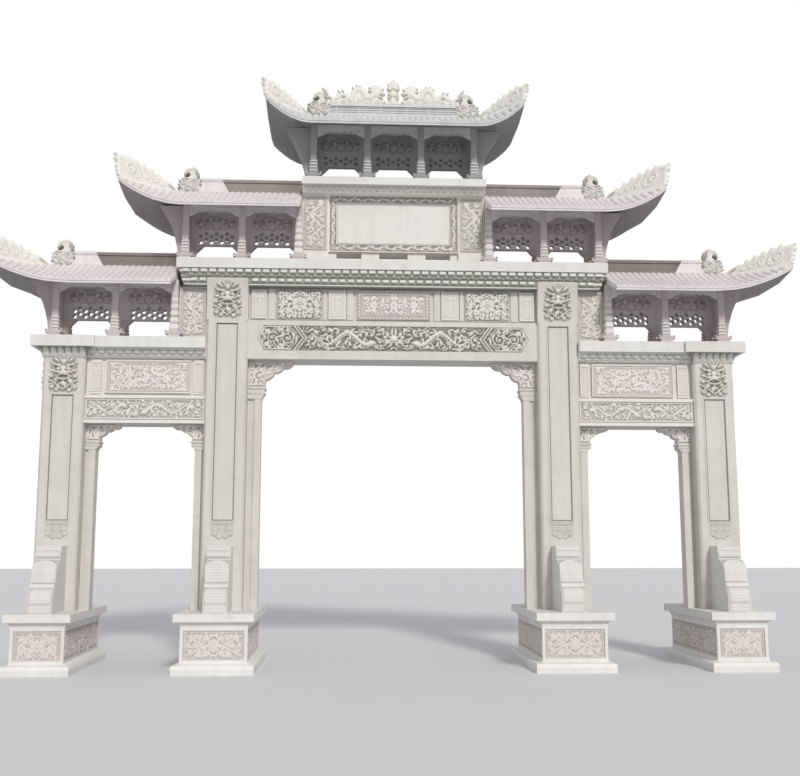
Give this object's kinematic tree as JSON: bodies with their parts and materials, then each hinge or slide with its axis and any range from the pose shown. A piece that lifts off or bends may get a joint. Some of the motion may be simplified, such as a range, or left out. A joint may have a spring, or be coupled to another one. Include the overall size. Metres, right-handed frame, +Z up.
{
  "type": "stone memorial gateway",
  "caption": "Free-standing stone gateway with piers on plinths, three passages, carved beams and upturned roofs, set over a road or path as a monument.",
  "frame": {"origin": "centre of the footprint, on the ground", "axes": "+Z up, X along the front, the front faces -Y"},
  "size_m": [11.8422, 2.2, 8.913],
  "materials": {
    "cap_stone": "bush-hammered pale stone",
    "carved_stone": "carved pale stone, dust in the hollows",
    "grey_roof_stone": "weathered grey stone",
    "ornament_stone": "carved cream stone",
    "pier_stone": "smooth pale stone with a faint warm grain",
    "rose_roof_stone": "weathered pinkish grey stone",
    "slab_stone": "sawn pale stone"
  },
  "bodies": {
    "root": {"bay_beams": "carved_stone", "bay_cornices": "carved_stone", "bay_friezes": "carved_stone", "bay_slabs": "slab_stone", "beam_center": "carved_stone", "capitals": "slab_stone", "corbels": "pier_stone", "corner_scrolls": "ornament_stone", "cornice_center": "carved_stone", "drum_stones": "cap_stone", "end_walls": "rose_roof_stone", "frieze_center": "carved_stone", "inner_piers": "pier_stone", "inner_plinths": "cap_stone", "jamb_posts": "pier_stone", "low_lintels": "rose_roof_stone", "low_panels": "rose_roof_stone", "low_posts": "rose_roof_stone", "low_ridges": "rose_roof_stone", "low_roof_left": "rose_roof_stone", "low_roof_right": "rose_roof_stone", "mid_lintels": "rose_roof_stone", "mid_panels": "rose_roof_stone", "mid_posts": "rose_roof_stone", "mid_ridges": "rose_roof_stone", "mid_roof_left": "rose_roof_stone", "mid_roof_right": "rose_roof_stone", "outer_piers": "pier_stone", "outer_plinths": "cap_stone", "panel_feet": "rose_roof_stone", "pier_masks": "carved_stone", "plaque": "carved_stone", "plaque_cornice": "carved_stone", "plaque_feet": "pier_stone", "plaque_posts": "carved_stone", "plaque_slab": "slab_stone", "ridge_beasts": "ornament_stone", "ridge_dragons": "ornament_stone", "ridge_finial": "ornament_stone", "shoulders": "carved_stone", "slab_center": "slab_stone", "top_lintels": "grey_roof_stone", "top_panels": "grey_roof_stone", "top_posts": "grey_roof_stone", "top_ridge": "grey_roof_stone", "top_roof": "grey_roof_stone"}
  },
  "joints": []
}
